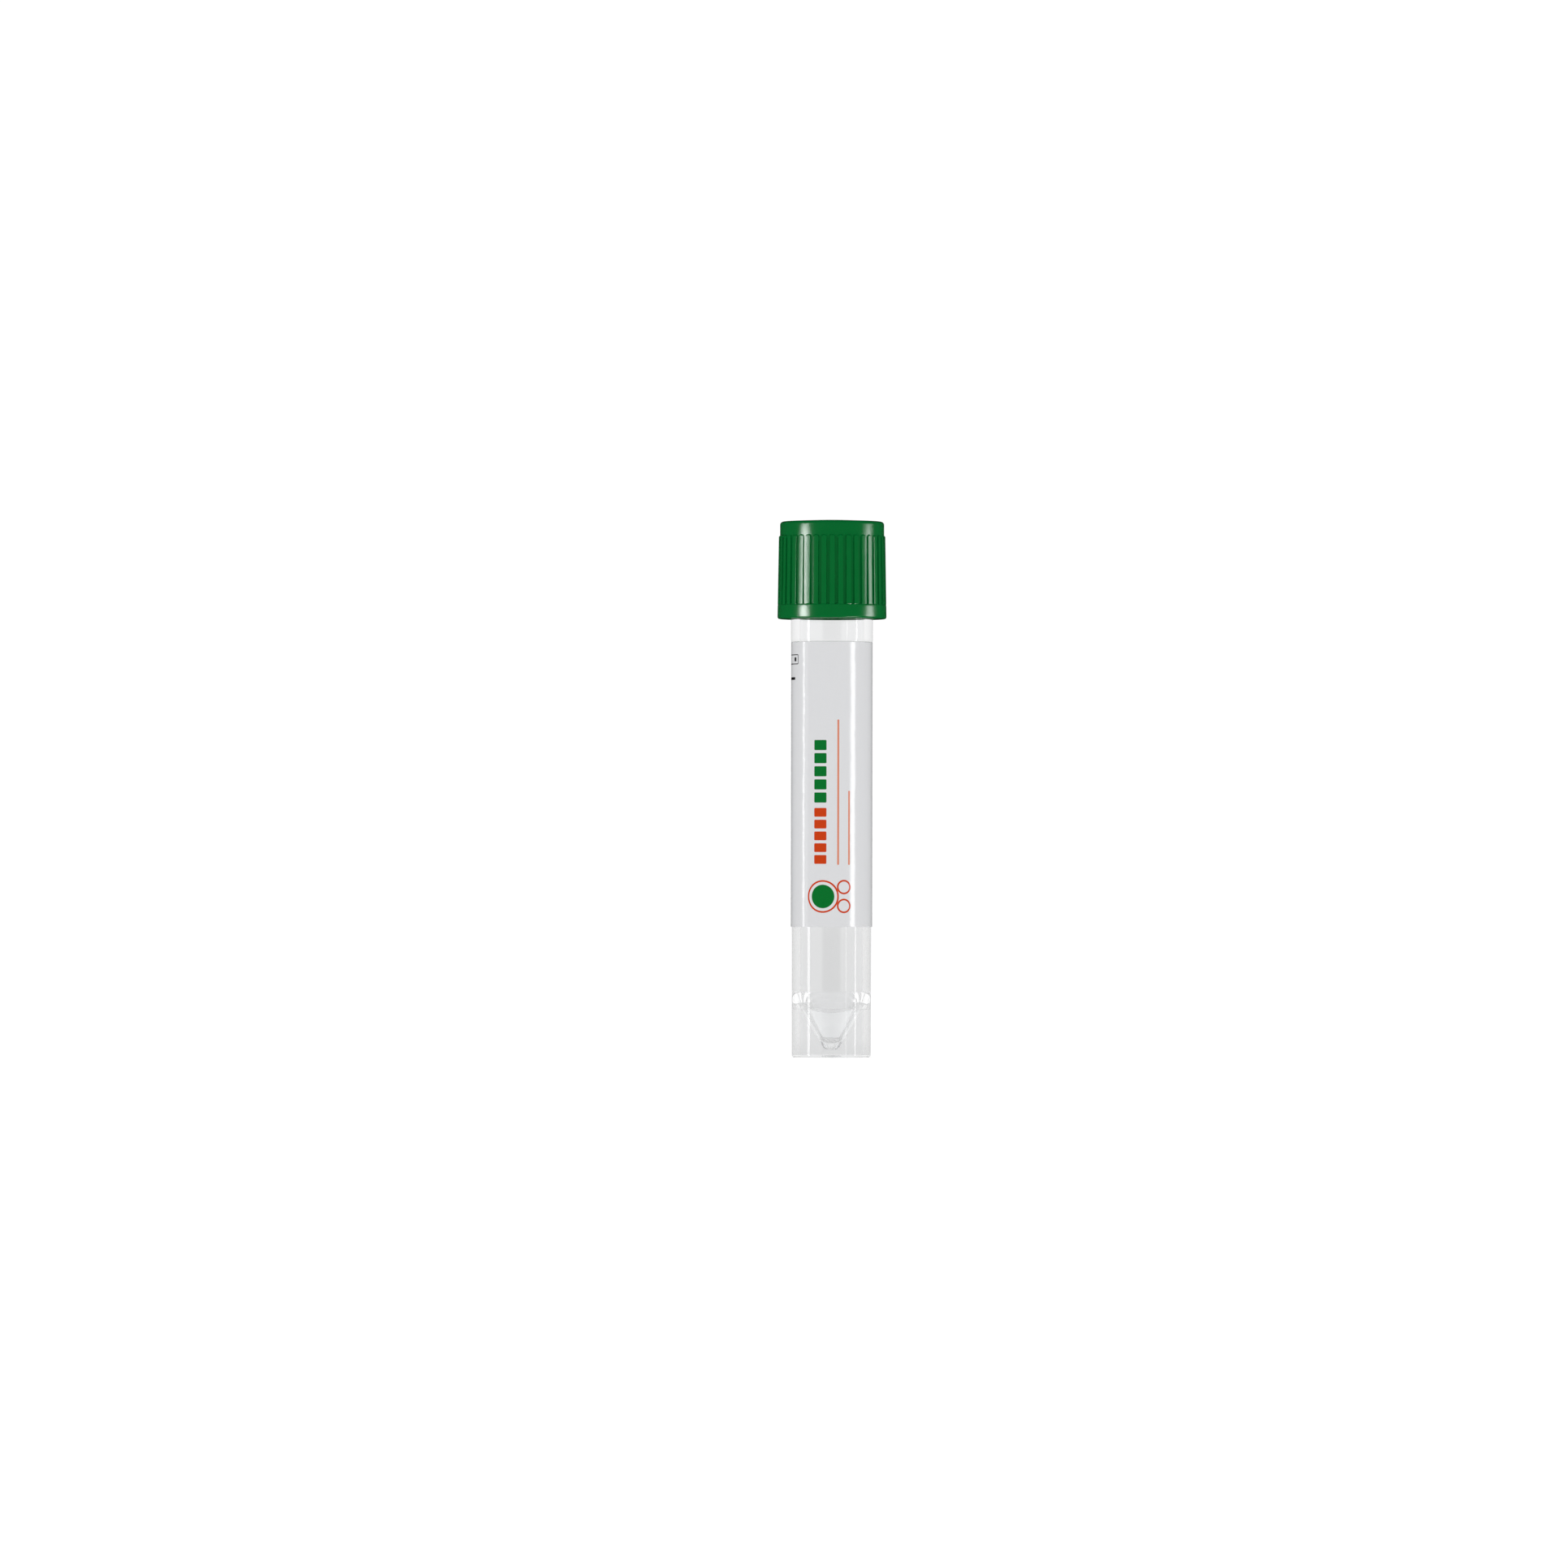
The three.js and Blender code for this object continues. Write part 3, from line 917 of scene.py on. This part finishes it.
def makeFloor():
    bpy.ops.object.select_all(action='DESELECT')
    bpy.ops.mesh.primitive_plane_add(size=floorLook["size"], location=(0, 0, 0))
    floor = bpy.context.object
    floor.name = "floor"
    floor.visible_glossy = False
    floor.visible_shadow = False
    material, tree, shader = startMaterial("floor_white")
    place = objectPlace(tree)
    part = splitUp(tree, place)
    room = useGroup(tree, roomBrightness, in_X=part["X"], in_Y=part["Y"]).outputs["Level"]
    away = distanceOf(tree, place)
    # painted light: seen through clear walls, the floor glows as bright as the room in each
    # direction, and brighter right under the tube, where it would lie in shade
    through = mixed(tree, eased(tree, away, *floorLook["farRange"]), roomLight["steep"], room)
    near = eased(tree, away, *floorLook["underRange"])
    through = mixed(tree, near, floorLook["under"], through)
    through = maths(tree, 'MAXIMUM', maths(tree, 'SUBTRACT', through, floorLook["base"]), 0.0)
    path = joined(tree, "ShaderNodeLightPath").outputs
    glow = maths(tree, 'MULTIPLY', path["Is Camera Ray"], floorLook["lift"])
    glow = maths(tree, 'MULTIPLY_ADD', path["Is Diffuse Ray"], floorLook["bounce"], glow)
    glow = maths(tree, 'MULTIPLY_ADD', path["Is Transmission Ray"], through, glow)
    glowBy(material, shader, glow)
    shader.inputs["Base Color"].default_value = (floorLook["albedo"],) * 3 + (1,)
    shader.inputs["Roughness"].default_value = 1.0
    shader.inputs["Specular IOR Level"].default_value = 0.0
    floor.data.materials.append(material)


# each lamp: degrees from straight in front, height above the floor, width, length, brightness and
# the pieces it shines on
lamps = [
    ("key_left", -63, -0.25, 0.65, 1.1, 46.0, (cap, washer)),
    ("key_right", 88, -0.25, 0.75, 1.1, 16.0, (cap, washer)),
    ("under_left", -76, -2.0, 0.35, 1.6, 20.0, (cap,)),
    ("under_right", 51, -2.0, 0.35, 1.6, 26.0, (cap,)),
    ("film_left", -87, 0.5, 0.16, 2.6, 12.0, (label,)),
    ("film_far_left", -76, 0.5, 0.04, 2.6, 10.0, (label,)),
    ("film_right", 62, 0.5, 0.60, 2.6, 8.0, (label,)),
    ("clear_left", -70, 0.5, 0.36, 2.6, 5.0, (tube,)),
    ("clear_right", 74, 0.5, 0.2, 2.6, 5.0, (tube,)),
    ("clear_near_right", 43, 0.5, 0.10, 2.6, 3.0, (tube,)),
    ("rim_left", -140, 0.5, 3.6, 2.6, 0.5, (tube,)),
    ("rim_right", 140, 0.5, 3.6, 2.6, 0.5, (tube,)),
]
lampDistance = 2.4
lampAim = Vector((0, 0, 0.04))


def makeLamps():
    # tall lamps that only give highlights
    for name, degrees, height, width, length, brightness, lit in lamps:
        light = bpy.data.lights.new(name, 'AREA')
        light.shape = 'RECTANGLE'
        light.size = width
        light.size_y = length
        light.energy = brightness * math.pi * width * length
        lamp = bpy.data.objects.new(name, light)
        bpy.context.scene.collection.objects.link(lamp)
        angle = math.radians(degrees)
        lamp.location = (lampDistance * math.sin(angle), -lampDistance * math.cos(angle), height)
        lamp.rotation_euler = (lampAim - lamp.location).to_track_quat('-Z', 'Y').to_euler()
        lamp.visible_camera = False
        lamp.visible_diffuse = False
        lamp.visible_transmission = False
        receivers = bpy.data.collections.new(name + "_shines_on")
        for piece in lit:
            receivers.objects.link(piece)
        lamp.light_linking.receiver_collection = receivers


cameraPlace = {
    "location": (-0.00711, -1.667, 0.0204),
    "aim": (-0.00711, 0, 0.0407),
    "roll": 0.1,  # degrees
    "lens": 256.75,
    "clip": (0.1, 100),
}


def makeCamera():
    data = bpy.data.cameras.new("camera")
    data.lens = cameraPlace["lens"]
    data.clip_start, data.clip_end = cameraPlace["clip"]
    camera = bpy.data.objects.new("camera", data)
    bpy.context.scene.collection.objects.link(camera)
    camera.location = cameraPlace["location"]
    turn = (Vector(cameraPlace["aim"]) - camera.location).to_track_quat('-Z', 'Y')
    roll = Quaternion((0, 0, 1), math.radians(cameraPlace["roll"]))
    camera.rotation_euler = (turn @ roll).to_euler()
    bpy.context.scene.camera = camera


makeFloor()
makeRoom()
makeLamps()
makeCamera()
bpy.context.scene.view_settings.view_transform = 'Standard'
# light runs far inside the clear walls before it comes out
cycles = bpy.context.scene.cycles
cycles.max_bounces = 40
cycles.glossy_bounces = 32
cycles.transmission_bounces = 40
print("studio ready")
